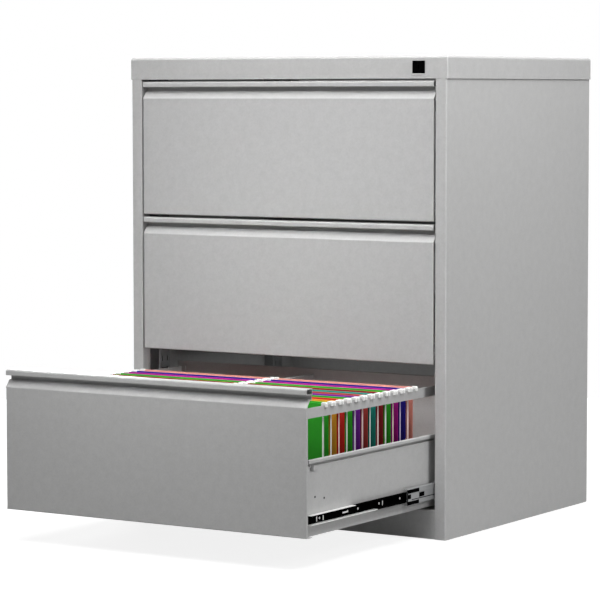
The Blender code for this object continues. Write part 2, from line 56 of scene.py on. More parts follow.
def finish(name, colour, roughness, grain, relief, metallic=0.0, stretch=(1, 1, 1),
           contrast=0.06, gloss=0.5):
    """A surface whose colour, roughness and height follow a grain in metres, over wider clouds."""
    material = bpy.data.materials.new(name)
    material.use_nodes = True
    tree = material.node_tree
    shader = tree.nodes["Principled BSDF"]
    shader.inputs["Metallic"].default_value = metallic
    shader.inputs["Specular IOR Level"].default_value = gloss
    coords = tree.nodes.new("ShaderNodeTexCoord")
    scaled = tree.nodes.new("ShaderNodeMapping")
    scaled.inputs["Scale"].default_value = [factor / grain for factor in stretch]
    tree.links.new(coords.outputs["Object"], scaled.inputs["Vector"])
    speckle = tree.nodes.new("ShaderNodeTexNoise")
    speckle.inputs["Scale"].default_value = 1.0
    speckle.inputs["Detail"].default_value = 3.0
    tree.links.new(scaled.outputs["Vector"], speckle.inputs["Vector"])
    clouds = tree.nodes.new("ShaderNodeTexNoise")
    clouds.inputs["Scale"].default_value = 1 / CLOUD_SIZE
    tree.links.new(coords.outputs["Object"], clouds.inputs["Vector"])
    mixed = tree.nodes.new("ShaderNodeMix")
    mixed.inputs["Factor"].default_value = 0.5
    tree.links.new(speckle.outputs["Fac"], mixed.inputs["A"])
    tree.links.new(clouds.outputs["Fac"], mixed.inputs["B"])
    shades = tree.nodes.new("ShaderNodeValToRGB")
    shade_range = ((GRAIN_LOW, 1 - contrast), (GRAIN_HIGH, 1 + contrast))
    for stop, (place, factor) in zip(shades.color_ramp.elements, shade_range):
        stop.position = place
        stop.color = (*[min(channel * factor, 1.0) for channel in colour], 1.0)
    tree.links.new(mixed.outputs["Result"], shades.inputs["Fac"])
    tree.links.new(shades.outputs["Color"], shader.inputs["Base Color"])
    dulled = tree.nodes.new("ShaderNodeMapRange")
    dulled.inputs["From Min"].default_value = GRAIN_LOW
    dulled.inputs["From Max"].default_value = GRAIN_HIGH
    dulled.inputs["To Min"].default_value = roughness * (1 - DULLING)
    dulled.inputs["To Max"].default_value = min(roughness * (1 + DULLING), 1.0)
    tree.links.new(mixed.outputs["Result"], dulled.inputs["Value"])
    tree.links.new(dulled.outputs["Result"], shader.inputs["Roughness"])
    bump = tree.nodes.new("ShaderNodeBump")
    bump.inputs["Distance"].default_value = relief
    tree.links.new(speckle.outputs["Fac"], bump.inputs["Height"])
    tree.links.new(bump.outputs["Normal"], shader.inputs["Normal"])
    return material


def dress(node, material):
    """Gives a solid that stays in view its finish."""
    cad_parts[node].material_slots[0].material = material


grey_coat = finish("grey_powder_coat", (0.47, 0.47, 0.468), roughness=0.5, grain=0.004,
                   relief=0.00006, contrast=0.06, gloss=0.4)
rolled_steel = finish("rolled_steel", (0.2, 0.2, 0.21), roughness=0.55, grain=0.006,
                      relief=0.0001, metallic=0.9, stretch=(0.2, 1, 1), contrast=0.25)
black_moulding = finish("black_moulding", (0.0015, 0.0015, 0.0015), roughness=0.6, grain=0.0012,
                        relief=0.00003, contrast=0.3, gloss=0.0)
dress("base_pan", grey_coat)
dress("counterweight", rolled_steel)
for corner in ("front_left", "front_right", "rear_left", "rear_right"):
    dress(f"{corner}_foot", black_moulding)

# Side panels. Each is one sheet of 1 mm steel pressed into the front post, the post's return and
# a rear flange, then powder coated. The post's face stops short at the top, where the lid's front
# skirt sits.
HANDS = (("left", -1), ("right", 1))
SHEET = 0.001
POST_RETURN = 0.024
REAR_FLANGE = 0.022
TIGHT_BEND = 0.001
POST_BEND = 0.0025
BEND_STEPS = 6
LEAST_TURN = 0.01
CRISP_ANGLE = math.radians(35)


def bent(path, thickness, bends):
    """The two faces of a sheet folded along (across, up) points.

    The first face follows the points, and the second lies a thickness to the left of the way
    along. The bends are one radius, or a list with a radius for each inner point.
    """
    points = [Vector(point) for point in path]
    face = []
    back = []
    for index, point in enumerate(points):
        before = (point - points[index - 1] if index else points[1] - point).normalized()
        after = before
        if index < len(points) - 1:
            after = (points[index + 1] - point).normalized()
        turn = math.atan2(before.cross(after), before.dot(after))
        steps = 0
        radius = 0
        if abs(turn) > LEAST_TURN:
            steps = BEND_STEPS
            bend = bends[index - 1] if isinstance(bends, list) else bends
            radius = bend + thickness * (turn > 0)
        side = math.copysign(radius, turn)
        start = point - before * radius * math.tan(abs(turn) / 2)
        middle = start + Vector((-before.y, before.x)) * side
        for step in range(steps + 1):
            along = Matrix.Rotation(turn * step / max(steps, 1), 2) @ before
            left = Vector((-along.y, along.x))
            face.append(middle - left * side)
            back.append(middle - left * (side - thickness))
    return face, back


def other_hand(sheet, sign):
    """The same folded sheet on the right (1) or the left (-1) of the cabinet."""
    return [[(sign * across, up) for across, up in line] for line in sheet]


def made(name, shape, *finishes):
    """Turns a shape into an object with crisp edges and softly shaded bends."""
    loose = [vert for vert in shape.verts if not vert.link_faces]
    bmesh.ops.delete(shape, geom=loose, context="VERTS")
    bmesh.ops.recalc_face_normals(shape, faces=shape.faces)
    mesh = bpy.data.meshes.new(name)
    shape.to_mesh(mesh)
    shape.free()
    mesh.shade_smooth()
    mesh.set_sharp_from_angle(angle=CRISP_ANGLE)
    for material in finishes:
        mesh.materials.append(material)
    piece = bpy.data.objects.new(name, mesh)
    bpy.context.scene.collection.objects.link(piece)
    even = piece.modifiers.new("even shading", "WEIGHTED_NORMAL")
    even.keep_sharp = True
    return piece


def drawn(name, sheet, axis, stops, finishes, gone=()):
    """A folded sheet drawn out along an axis through some stops.

    It lacks the (column, band) cells that are gone: a column lies between two points of the
    fold, and a band between two stops.
    """
    order = {"X": (2, 0, 1), "Y": (0, 2, 1), "Z": (0, 1, 2)}[axis]
    shape = bmesh.new()
    rows = []
    for stop in stops:
        places = [[(across, up, stop) for across, up in line] for line in sheet]
        rows.append([[shape.verts.new([spot[i] for i in order]) for spot in line]
                     for line in places])
    last_column = len(sheet[0]) - 1
    last_band = len(stops) - 1

    def solid(column, band):
        inside = 0 <= column < last_column and 0 <= band < last_band
        return inside and (column, band) not in gone

    for band in range(last_band):
        (face, back), (next_face, next_back) = rows[band], rows[band + 1]
        for column in range(last_column):
            if not solid(column, band):
                continue
            beside = column + 1
            shape.faces.new((face[column], face[beside], next_face[beside], next_face[column]))
            shape.faces.new((back[column], back[beside], next_back[beside], next_back[column]))
            if not solid(column - 1, band):
                shape.faces.new((face[column], back[column], next_back[column], next_face[column]))
            if not solid(beside, band):
                shape.faces.new((face[beside], back[beside], next_back[beside], next_face[beside]))
            if not solid(column, band - 1):
                shape.faces.new((face[column], face[beside], back[beside], back[column]))
            if not solid(column, band + 1):
                shape.faces.new((next_face[column], next_face[beside],
                                 next_back[beside], next_back[column]))
    return made(name, shape, *finishes)


panel_low, panel_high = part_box("right_side_panel")
front = panel_low.y
opening_half = panel_low.x
half_width = panel_high.x
post_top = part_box("back_panel")[1].z
panel_sheet = bent([
    (opening_half, front + POST_RETURN),
    (opening_half, front),
    (half_width, front),
    (half_width, panel_high.y),
    (half_width - REAR_FLANGE, panel_high.y),
], SHEET, [TIGHT_BEND, POST_BEND, TIGHT_BEND])
post_columns = range(1, 2 * (BEND_STEPS + 1))
for side, sign in HANDS:
    panel = drawn(f"{side}_panel", other_hand(panel_sheet, sign), "Z",
                  [panel_low.z, post_top, panel_high.z], [grey_coat],
                  {(column, 1) for column in post_columns})
    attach(panel, "cabinet")
    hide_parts(f"{side}_side_panel")

# Back panel. A flat sheet with two shallow ribs pressed inwards to stiffen it, powder coated and
# fixed over the side panels' rear flanges by button-head screws.
RIB_X = 0.2
RIB_HALF = 0.012
RIB_SLOPE = 0.004
RIB_DEPTH = 0.0012
SCREW_RADIUS = 0.004
SCREW_HEIGHT = 0.0008
SCREW_LEVELS = (0.06, 0.29, 0.52, 0.75, 0.945)
HEAD_SIDES = 18
HEAD_DOME = ((1, 0), (1, 0.35), (0.82, 0.8), (0.52, 1), (0.44, 1), (0.38, 0.45))


def heads(name, places, facing, radius, height, material):
    """Button heads, each a turned dome with a hollow for the driver, all in one mesh."""
    lean = Vector((0, 0, 1)).rotation_difference(Vector(facing)).to_matrix()
    shape = bmesh.new()
    for place in places:
        rings = []
        for out, up in HEAD_DOME:
            spots = []
            for index in range(HEAD_SIDES):
                angle = math.tau * index / HEAD_SIDES
                across = radius * out * math.cos(angle)
                along = radius * out * math.sin(angle)
                spots.append(Vector((across, along, height * up)))
            rings.append([shape.verts.new(Vector(place) + lean @ spot) for spot in spots])
        for lower, upper in zip(rings, rings[1:]):
            for index in range(HEAD_SIDES):
                beside = (index + 1) % HEAD_SIDES
                shape.faces.new((lower[index], lower[beside], upper[beside], upper[index]))
        shape.faces.new(rings[0])
        shape.faces.new(rings[-1])
    return made(name, shape, material)


back_low, back_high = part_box("back_panel")
back = back_high.y - SCREW_HEIGHT
back_path = [(back_high.x, back)]
for rib in (RIB_X, -RIB_X):
    for step_x, step_y in ((RIB_HALF, 0), (RIB_HALF - RIB_SLOPE, -RIB_DEPTH),
                           (RIB_SLOPE - RIB_HALF, -RIB_DEPTH), (-RIB_HALF, 0)):
        back_path.append((rib + step_x, back + step_y))
back_path.append((back_low.x, back))
back_sheet = drawn("back_sheet", bent(back_path, SHEET, TIGHT_BEND), "Z",
                   [back_low.z, back_high.z], [grey_coat])
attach(back_sheet, "cabinet")
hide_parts("back_panel")
zinc_plate = finish("zinc_plate", (0.28, 0.285, 0.29), roughness=0.42, grain=0.004,
                    relief=0.00001, metallic=0.4, stretch=(1, 0.12, 1), contrast=0.1)
screw_x = half_width - REAR_FLANGE / 2
screw_places = [(sign * screw_x, back, z) for _, sign in HANDS for z in SCREW_LEVELS]
back_screws = heads("back_screws", screw_places, (0, 1, 0), SCREW_RADIUS, SCREW_HEIGHT, zinc_plate)
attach(back_screws, "cabinet")

# Plinth rail. A folded channel of sheet steel under the lowest drawer, powder coated and welded
# between the posts, its face level with theirs.
PLINTH_BEND = 0.0015
WELD = 0.0008
plinth_low, plinth_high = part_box("plinth_rail")
plinth_sheet = bent([
    (plinth_high.y, plinth_high.z),
    (front, plinth_high.z),
    (front, plinth_low.z),
    (plinth_high.y, plinth_low.z),
], SHEET, PLINTH_BEND)
plinth = drawn("plinth", plinth_sheet, "X", [plinth_low.x - WELD, plinth_high.x + WELD],
               [grey_coat])
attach(plinth, "cabinet")
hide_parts("plinth_rail")

# Uprights. Plated steel channels welded inside the side panels, with two rows of slots that the
# slides hook into.
SLOT_PITCH = 0.025
SLOT_HEIGHT = 0.012
SLOT_HALF = 0.0015
SLOT_INSET = 0.0105
SLOT_COLUMNS = (BEND_STEPS + 2, BEND_STEPS + 4)
for end in ("front", "rear"):
    low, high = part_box(f"{end}_right_upright")
    path = [(high.x, high.y), (low.x, high.y)]
    for row in (high.y - SLOT_INSET, low.y + SLOT_INSET):
        path += [(low.x, row + SLOT_HALF), (low.x, row - SLOT_HALF)]
    path += [(low.x, low.y), (high.x, low.y)]
    sheet = bent(path, SHEET, TIGHT_BEND)
    stops = [low.z]
    while stops[-1] + 2 * SLOT_PITCH < high.z:
        slot_low = stops[-1] + SLOT_PITCH - SLOT_HEIGHT * (len(stops) > 1)
        stops += [slot_low, slot_low + SLOT_HEIGHT]
    stops.append(high.z)
    slot_bands = range(1, len(stops) - 1, 2)
    slots = {(column, band) for column in SLOT_COLUMNS for band in slot_bands}
    for side, sign in HANDS:
        upright = drawn(f"{end}_{side}_slotted_upright", other_hand(sheet, sign), "Z", stops,
                        [zinc_plate], slots)
        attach(upright, "cabinet")
        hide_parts(f"{end}_{side}_upright")

# Telescopic slides. Three rolled steel sections to each: a plated channel hooked on the uprights,
# a plated carriage that runs in it on balls, and a black coated runner, bare along its ball
# tracks, on the drawer. The tracks are painted bright only as far as light falls on them, the
# black past there is painted shade, and the lower track's bend is painted as highlight. Moulded
# stops, struck tabs and rivets sit on them, with a thin black strip of painted shade along each
# carriage.
DRAWERS = ("bottom", "middle", "top")
ROLLED = 0.0012
ROLLED_BEND = 0.0012
GROOVE_HALF = 0.007
GROOVE_DEPTH = 0.0005
GROOVE_BEND = 0.0003
STOP_SINK = 0.0009
STOP_PROUD = 0.0004
# How far and how deep the tracks are painted bright: past these lengths the black is painted shade,
# and the lower depth takes in the bend as a painted highlight.
UPPER_TRACK_PAINTED_LIGHT = (0.185, 0.6 * ROLLED)
LOWER_TRACK_PAINTED_LIGHT = (0.271, 1.1 * ROLLED)
TAB_SINK = 0.0003
TAB_PROUD = 0.0012
TAB_DROP = 0.0013
RIVET_PLACES = (0.062, 0.168, 0.208, 0.291, 0.375)
RIVET_DROP = 0.0005
RIVET_RADIUS = 0.0026
RIVET_HEIGHT = 0.001
SOFT_SHARE = 0.3
# A stop's start and end behind the carriage's nose, and its bottom and top from the slide's axis.
CARRIAGE_STOPS_AND_SHADE_STRIP = (
    (0.003, 0.049, 0.0076, 0.0154),
    (0.002, 0.048, -0.0168, -0.0092),
    (0.0, 0.015, -0.004, 0.005),
    (0.05, 0.07, -0.004, 0.005),
    (0.0, 0.003, -0.0171, 0.0158),
    # Not a stop: a thin black strip along the carriage, painted shade for the dark line there.
    (0.018, 0.3, -0.0072, -0.0058),
)
# A tab's place behind the drawer's front, half its length and half its height.
RUNNER_TABS = (
    (0.0507, 0.0014, 0.005),
    (0.075, 0.0014, 0.005),
    (0.157, 0.009, 0.0016),
    (0.304, 0.0014, 0.005),
)
black_coat = finish("black_slide_coat", (0.002, 0.002, 0.002), roughness=0.5, grain=0.0015,
                    relief=0.00002, contrast=0.3, gloss=0.0)
# Bright bare steel, also used to paint highlights: on the lit length of the tracks and in the strip
# under the lock.
bare_steel_and_highlight = finish("bare_steel_and_painted_highlight", (0.88, 0.88, 0.87), roughness=0.35, grain=0.003,
                    relief=0.00001, metallic=0.3, stretch=(1, 0.1, 1), contrast=0.05)


def plates(name, places, material):
    """Flat plates with softened edges between pairs of corners, all in one mesh."""
    shape = bmesh.new()
    for low, high in places:
        size = Vector(high) - Vector(low)
        block = bmesh.ops.create_cube(shape, size=1.0)["verts"]
        bmesh.ops.scale(shape, verts=block, vec=size)
        bmesh.ops.translate(shape, verts=block, vec=(Vector(high) + Vector(low)) / 2)
        edges = list(dict.fromkeys(edge for vert in block for edge in vert.link_edges))
        bmesh.ops.bevel(shape, geom=edges, offset=min(size) * SOFT_SHARE, segments=2,
                        affect="EDGES", profile=0.5)
    return made(name, shape, material)


for drawer in DRAWERS:
    for side, sign in HANDS:
        low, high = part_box(f"{drawer}_channel_right")
        sheet = bent([
            (low.x, low.z),
            (high.x, low.z),
            (high.x, high.z),
            (low.x, high.z),
        ], ROLLED, ROLLED_BEND)
        channel = drawn(f"{drawer}_slide_channel_{side}", other_hand(sheet, sign), "Y",
                        [low.y, high.y], [zinc_plate])
        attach(channel, "cabinet")
        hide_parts(f"{drawer}_channel_{side}")

        low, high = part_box(f"{drawer}_carriage_right")
        axis_z = (low.z + high.z) / 2
        groove = high.x - GROOVE_DEPTH
        sheet = bent([
            (low.x, low.z),
            (high.x, low.z),
            (high.x, axis_z - GROOVE_HALF),
            (groove, axis_z - GROOVE_HALF + GROOVE_DEPTH),
            (groove, axis_z + GROOVE_HALF - GROOVE_DEPTH),
            (high.x, axis_z + GROOVE_HALF),
            (high.x, high.z),
            (low.x, high.z),
        ], ROLLED, GROOVE_BEND)
        carriage = drawn(f"{drawer}_slide_carriage_{side}", other_hand(sheet, sign), "Y",
                         [low.y, high.y], [zinc_plate])
        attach(carriage, f"{drawer}_carriages")
        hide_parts(f"{drawer}_carriage_{side}")

        nose = low.y
        inner, outer = sorted((sign * (high.x - STOP_SINK), sign * (high.x + STOP_PROUD)))
        # The moulded stops, with the thin black strip of painted shade along the carriage.
        stop_and_shade_places = [((inner, nose + start, axis_z + bottom), (outer, nose + end, axis_z + top))
                       for start, end, bottom, top in CARRIAGE_STOPS_AND_SHADE_STRIP]
        stops_and_shade_piece = plates(f"{drawer}_slide_stops_{side}", stop_and_shade_places, black_moulding)
        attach(stops_and_shade_piece, f"{drawer}_carriages")

        low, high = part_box(f"{drawer}_runner_right")
        axis_z = (low.z + high.z) / 2
        drawer_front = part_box(f"{drawer}_front")[0].y
        # The bright tracks end where shade falls on them; the black coat past there is painted
        # shade.
        painted_shade_starts = [drawer_front + length for length, _ in (UPPER_TRACK_PAINTED_LIGHT, LOWER_TRACK_PAINTED_LIGHT)]
        sheet = bent([
            (high.x, high.z),
            (low.x, high.z),
            (low.x, low.z),
            (high.x, low.z),
        ], ROLLED, ROLLED_BEND)
        runner = drawn(f"{drawer}_slide_runner_{side}", other_hand(sheet, sign), "Y",
                       [low.y, *painted_shade_starts, high.y], [black_coat, bare_steel_and_highlight])
        for face in runner.data.polygons:
            middle = face.center
            # Faces painted bright for the lit tracks; the lower mask also takes in the bend, as a
            # painted highlight.
            upper = middle.z > high.z - UPPER_TRACK_PAINTED_LIGHT[1] and middle.y < painted_shade_starts[0]
            lower = middle.z < low.z + LOWER_TRACK_PAINTED_LIGHT[1] and middle.y < painted_shade_starts[1]
            face.material_index = int(upper or lower)
        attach(runner, f"{drawer}_drawer")
        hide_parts(f"{drawer}_runner_{side}")

        web = low.x + ROLLED
        inner, outer = sorted((sign * (web - TAB_SINK), sign * (web + TAB_PROUD)))
        tab_z = axis_z - TAB_DROP
        tab_places = []
        for y, half_length, half_height in RUNNER_TABS:
            tab_places.append(((inner, drawer_front + y - half_length, tab_z - half_height),
                               (outer, drawer_front + y + half_length, tab_z + half_height)))
        tabs = plates(f"{drawer}_slide_tabs_{side}", tab_places, bare_steel_and_highlight)
        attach(tabs, f"{drawer}_drawer")
        rivet_z = axis_z - RIVET_DROP
        rivet_places = [(sign * web, drawer_front + y, rivet_z) for y in RIVET_PLACES]
        rivets = heads(f"{drawer}_slide_rivets_{side}", rivet_places, (sign, 0, 0),
                       RIVET_RADIUS, RIVET_HEIGHT, bare_steel_and_highlight)
        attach(rivets, f"{drawer}_drawer")

# Drawer boxes. A tray of folded sheet, its low sides hemmed over a pressed bead, with a liner
# behind the front, a sheet at the rear, a catch for the lock and rails to hang files on: a plate
# along each side and a folded rail along the middle. All are powder coated.
SIDE_HEIGHT = 0.153
HEM_WIDTH = 0.003
HEM_DROP = 0.0075
HEM_BENDS = (0.0018, 0.0001)
BEAD_TOP = 0.007
BEAD_LOW = 0.0145
BEAD_SLOPE = 0.0015
BEAD_DEPTH = 0.0036
BEAD_BENDS = (0.0002, 0.0002, 0.0002, 0.0002)
TRAY_BEND = 0.0008
LINER_FOLD = 0.012
LINER_GAP = 0.0003
REAR_LIP = 0.004
REAR_LIP_DROP = 0.008
REAR_BEND = 0.0006
RAIL_THICKNESS = 0.002
RAIL_TAB = 0.012
CATCH_WALL = 0.0012
CATCH_BEND = 0.0004
SIDE_SCREWS = ((0.048, 0.077), (0.082, 0.071))
SIDE_SCREW_RADIUS = 0.0022
SIDE_SCREW_HEIGHT = 0.0008
for drawer in DRAWERS:
    body = f"{drawer}_drawer"
    low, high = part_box(f"{drawer}_tray")
    rail_low, rail_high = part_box(f"{drawer}_rail_right")
    drawer_front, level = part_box(f"{drawer}_front")[0].yz
    side_top = level + SIDE_HEIGHT
    inside = high.x - HEM_WIDTH - SHEET
    half_tray = [
        (high.x, side_top - HEM_DROP),
        (high.x, side_top),
        (inside, side_top),
        (inside, side_top - BEAD_TOP),
        (inside - BEAD_DEPTH, side_top - BEAD_TOP - BEAD_SLOPE),
        (inside - BEAD_DEPTH, side_top - BEAD_LOW + BEAD_SLOPE),
        (inside, side_top - BEAD_LOW),
        (inside, level + SHEET),
    ]
    half_bends = [*HEM_BENDS, *BEAD_BENDS, TRAY_BEND]
    tray_sheet = bent(half_tray + [(-x, z) for x, z in half_tray[::-1]], SHEET,
                      half_bends + half_bends[::-1])
    tray = drawn(f"{drawer}_tray_sheet", tray_sheet, "Y", [low.y, high.y], [grey_coat])
    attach(tray, body)
    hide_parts(f"{drawer}_tray")

    liner_y = rail_low.y - LINER_GAP
    liner_sheet = bent([
        (liner_y, level + 2 * SHEET),
        (liner_y, high.z - LINER_FOLD),
        (liner_y, high.z),
        (liner_y - LINER_FOLD, high.z),
    ], SHEET, TIGHT_BEND)
    liner_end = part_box(f"{drawer}_front")[1].x - SHEET
    liner = drawn(f"{drawer}_liner", liner_sheet, "X", [-liner_end, -inside, inside, liner_end],
                  [grey_coat], {(0, 0), (0, 2)})
    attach(liner, body)

    low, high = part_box(f"{drawer}_back")
    rear_sheet = bent([
        (high.y + REAR_LIP, high.z - REAR_LIP_DROP),
        (high.y + REAR_LIP, high.z),
        (low.y, high.z),
        (low.y, low.z),
    ], SHEET, REAR_BEND)
    rear = drawn(f"{drawer}_rear_sheet", rear_sheet, "X", [low.x, high.x], [grey_coat])
    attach(rear, body)
    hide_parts(f"{drawer}_back")

    rail_sheet = bent([
        (rail_high.x - RAIL_TAB, rail_low.y),
        (rail_high.x, rail_low.y),
        (rail_high.x, rail_high.y),
        (rail_high.x - RAIL_TAB, rail_high.y),
    ], RAIL_THICKNESS, TIGHT_BEND)
    for side, sign in HANDS:
        rail = drawn(f"{drawer}_file_rail_{side}", other_hand(rail_sheet, sign), "Z",
                     [rail_low.z, rail_high.z], [grey_coat])
        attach(rail, body)
        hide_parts(f"{drawer}_rail_{side}")

    low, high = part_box(f"{drawer}_rail_centre")
    centre_sheet = bent([
        (high.x, low.z),
        (high.x, high.z),
        (low.x, high.z),
        (low.x, low.z),
    ], RAIL_THICKNESS, TIGHT_BEND)
    rail = drawn(f"{drawer}_file_rail_centre", centre_sheet, "Y", [low.y, high.y], [grey_coat])
    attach(rail, body)
    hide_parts(f"{drawer}_rail_centre")

    low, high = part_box(f"{drawer}_catch")
    catch_sheet = bent([(low.x, high.y), (low.x, low.y), (high.x, low.y)], CATCH_WALL, CATCH_BEND)
    catch = drawn(f"{drawer}_catch_bracket", catch_sheet, "Z",
                  [low.z, side_top - BEAD_LOW, high.z], [grey_coat], {(0, 1)})
    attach(catch, body)
    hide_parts(f"{drawer}_catch")
    for side, sign in HANDS:
        side_x = sign * (inside + SHEET)
        places = [(side_x, drawer_front + y, level + z) for y, z in SIDE_SCREWS]
        screws = heads(f"{drawer}_side_screws_{side}", places, (sign, 0, 0),
                       SIDE_SCREW_RADIUS, SIDE_SCREW_HEIGHT, black_moulding)
        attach(screws, body)

# Drawer fronts. One sheet each, pressed into a bottom flange, a flat face, a sloped groove for the
# fingers and a rolled lip over it, then powder coated. Its edges are turned in, and gussets behind
# it meet the tray's sides.
PULL_LIP = 0.0122
PULL_WALL = 0.0095
PULL_DEPTH = 0.0185
SLOPE_DEPTH = 0.0125
PULL_HEIGHT = 0.037
FRONT_BENDS = [0.003, 0.0004, 0.001, 0.0004, 0.001, 0.003, 0.0015]
RETURN_WIDTH = 0.005
RETURN_DEPTH = 0.0045
GUSSET_LAP = 0.0008
FACE_COLUMN = 6 * (BEND_STEPS + 1)
for drawer in DRAWERS:
    body = f"{drawer}_drawer"
    low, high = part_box(f"{drawer}_front")
    lip_low = high.z - PULL_LIP
    front_sheet = bent([
        (high.y, high.z),
        (low.y, high.z),
        (low.y, lip_low),
        (low.y + PULL_DEPTH, lip_low),
        (low.y + PULL_DEPTH, lip_low - PULL_WALL),
        (low.y + SLOPE_DEPTH, lip_low - PULL_WALL),
        (low.y, high.z - PULL_HEIGHT),
        (low.y, low.z),
        (high.y, low.z),
    ], SHEET, FRONT_BENDS)
    face = drawn(f"{drawer}_front_sheet", front_sheet, "X",
                 [low.x, low.x + RETURN_WIDTH, high.x - RETURN_WIDTH, high.x], [grey_coat],
                 {(FACE_COLUMN, 0), (FACE_COLUMN, 2)})
    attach(face, body)
    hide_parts(f"{drawer}_front")
    face_high, face_low = [front_sheet[0][point].y for point in (FACE_COLUMN, FACE_COLUMN + 1)]
    return_sheet = bent([
        (high.x - RETURN_WIDTH, low.y),
        (high.x, low.y),
        (high.x, low.y + RETURN_DEPTH),
    ], SHEET, TIGHT_BEND)
    for side, sign in HANDS:
        edge = drawn(f"{drawer}_front_return_{side}", other_hand(return_sheet, sign), "Z",
                     [face_low, face_high], [grey_coat])
        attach(edge, body)

    ledge = lip_low - PULL_WALL - SHEET / 2
    gusset_heights = (low.z + SHEET, high.z - PULL_HEIGHT, ledge)
    gusset_front = [(low.y + SHEET / 2 + out, z)
                    for out, z in zip((0, 0, SLOPE_DEPTH), gusset_heights)]
    gusset_back = [(high.y + GUSSET_LAP, z) for z in gusset_heights]
    gusset_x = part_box(f"{drawer}_tray")[1].x - HEM_WIDTH
    for side, sign in HANDS:
        stops = sorted((sign * gusset_x, sign * (gusset_x - SHEET)))
        gusset = drawn(f"{drawer}_front_gusset_{side}", [gusset_front, gusset_back], "X", stops,
                       [grey_coat])
        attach(gusset, body)

# Hanging files. Card folders with loose sheets in them, each hung by two steel rods folded into
# its top edges, whose ends carry white moulded hooks that sit over the rails.
FILE_PITCH = 0.0304
FILE_MOUTH = 0.025
FILE_DROP = 0.238
CARD = 0.0007
CARD_PLAY = 0.0002
CARD_BENDS = [0.0003, 0.0003, 0.004, 0.004, 0.004, 0.0003, 0.0003]
HEM_FOLD = 0.0026
HEM_LENGTH = 0.006
ROD_RISE = 0.0045
ROD_INSET = 0.0015
FOOT = 0.014
POCKET_GAP = 0.005
PAGES = 7
PAGES_START = 0.0012
PAGES_DEPTH = 0.0084
PAGES_DROP = 0.02
PAGES_FOOT = 0.002
PAGE_FILL = 0.92
PAGE_INNER = 0.003
PAGE_OUTER = 0.002
INNER_SWAY = 0.0015
OUTER_SWAY = 0.001
TOP_SWAY = 0.004
SWAY_BY_PAGE = 2.3
SWAY_BY_FILE = 1.7
HOOK_HALF = 0.0034
HOOK_RISE = 0.006
HOOK_DROP = 0.0035
HOOK_STEM = 0.002
HOOK_SEAT = 0.0004
HOOK_SIDE = 0.0006
HOOK_LEG = 0.0045
HOOK_LAP = 0.001
HOOK_SLOPE = 0.0015
HOOK_SHOULDER = 0.002
HOOK_SOFT_EDGE = 0.0009
card_colours = {
    "green": (0.035, 0.39, 0.025),
    "ochre": (0.66, 0.33, 0.03),
    "red": (0.62, 0.03, 0.02),
    "purple": (0.2, 0.02, 0.33),
    "brick": (0.42, 0.06, 0.05),
    "teal": (0.02, 0.27, 0.22),
    "maroon": (0.28, 0.015, 0.02),
    "magenta": (0.42, 0.01, 0.27),
    "navy": (0.022, 0.012, 0.25),
    "salmon": (0.76, 0.32, 0.26),
}
page_colours = {
    "white": (0.88, 0.9, 0.87),
    "pink": (0.9, 0.75, 0.73),
    "lilac": (0.83, 0.74, 0.89),
}
file_order = (
    ("green", "white"),
    ("ochre", "white"),
    ("red", "pink"),
    ("green", "white"),
    ("purple", "lilac"),
    ("brick", "pink"),
    ("teal", "white"),
    ("maroon", "pink"),
    ("green", "white"),
    ("magenta", "pink"),
    ("navy", "lilac"),
    ("salmon", "pink"),
)
card_finishes = {
    name: finish(f"{name}_card", colour, roughness=0.8, grain=0.0012, relief=0.00004,
                 contrast=0.12, gloss=0.25)
    for name, colour in card_colours.items()
}
page_finishes = {
    name: finish(f"{name}_pages", colour, roughness=0.85, grain=0.0009, relief=0.00008,
                 stretch=(0.1, 1.6, 0.1), contrast=0.08, gloss=0.2)
    for name, colour in page_colours.items()
}
white_moulding = finish("white_moulding", (0.85, 0.85, 0.84), roughness=0.4, grain=0.002,
                        relief=0.00002, contrast=0.03)


def hook_ends(name, sections, rods, material):
    """The moulded ends of a file's rods: (across, up) outlines drawn out along the drawer."""
    shape = bmesh.new()
    for middle in rods:
        for section in sections:
            near = [shape.verts.new((x, middle - HOOK_HALF, z)) for x, z in section]
            far = [shape.verts.new((x, middle + HOOK_HALF, z)) for x, z in section]
            shape.faces.new(near)
            shape.faces.new(far)
            for index in range(len(section)):
                beside = (index + 1) % len(section)
                shape.faces.new((near[index], near[beside], far[beside], far[index]))
    piece = made(name, shape, material)
    soft = piece.modifiers.new("softened edges", "BEVEL")
    soft.width = HOOK_SOFT_EDGE
    soft.segments = 2
    piece.modifiers.move(1, 0)
    return piece


first_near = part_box("hanging_files_right")[0].y
rail_low, rail_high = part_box("bottom_rail_right")
centre_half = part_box("bottom_rail_centre")[1].x
rail_top = rail_high.z
bottom = rail_top - FILE_DROP
pocket_inner = centre_half + POCKET_GAP
pocket_outer = rail_low.x - POCKET_GAP
card_top = rail_top + ROD_RISE
hook_top = rail_top + HOOK_RISE
hook_low = rail_top - HOOK_DROP
stem_low = rail_top - HOOK_STEM
seat = rail_top + HOOK_SEAT
leg_x = rail_high.x + HOOK_LEG
outer_hook = [
    (pocket_outer - HOOK_LAP, stem_low),
    (pocket_outer - HOOK_LAP, hook_top - HOOK_LAP),
    (pocket_outer + HOOK_LAP, hook_top),
    (leg_x - HOOK_SLOPE, hook_top),
    (leg_x, hook_top - HOOK_SHOULDER),
    (leg_x, hook_low),
    (rail_high.x + HOOK_SIDE, hook_low),
    (rail_high.x + HOOK_SIDE, seat),
    (rail_low.x - HOOK_SIDE, seat),
    (rail_low.x - HOOK_SIDE, stem_low),
]
inner_hook = [
    (HOOK_SIDE, seat),
    (centre_half + HOOK_SIDE, seat),
    (centre_half + HOOK_SIDE, stem_low),
    (pocket_inner + HOOK_LAP, stem_low),
    (pocket_inner + HOOK_LAP, hook_top - HOOK_LAP),
    (pocket_inner - HOOK_LAP, hook_top),
    (HOOK_SHOULDER, hook_top),
    (HOOK_SIDE, hook_top - HOOK_SLOPE),
]
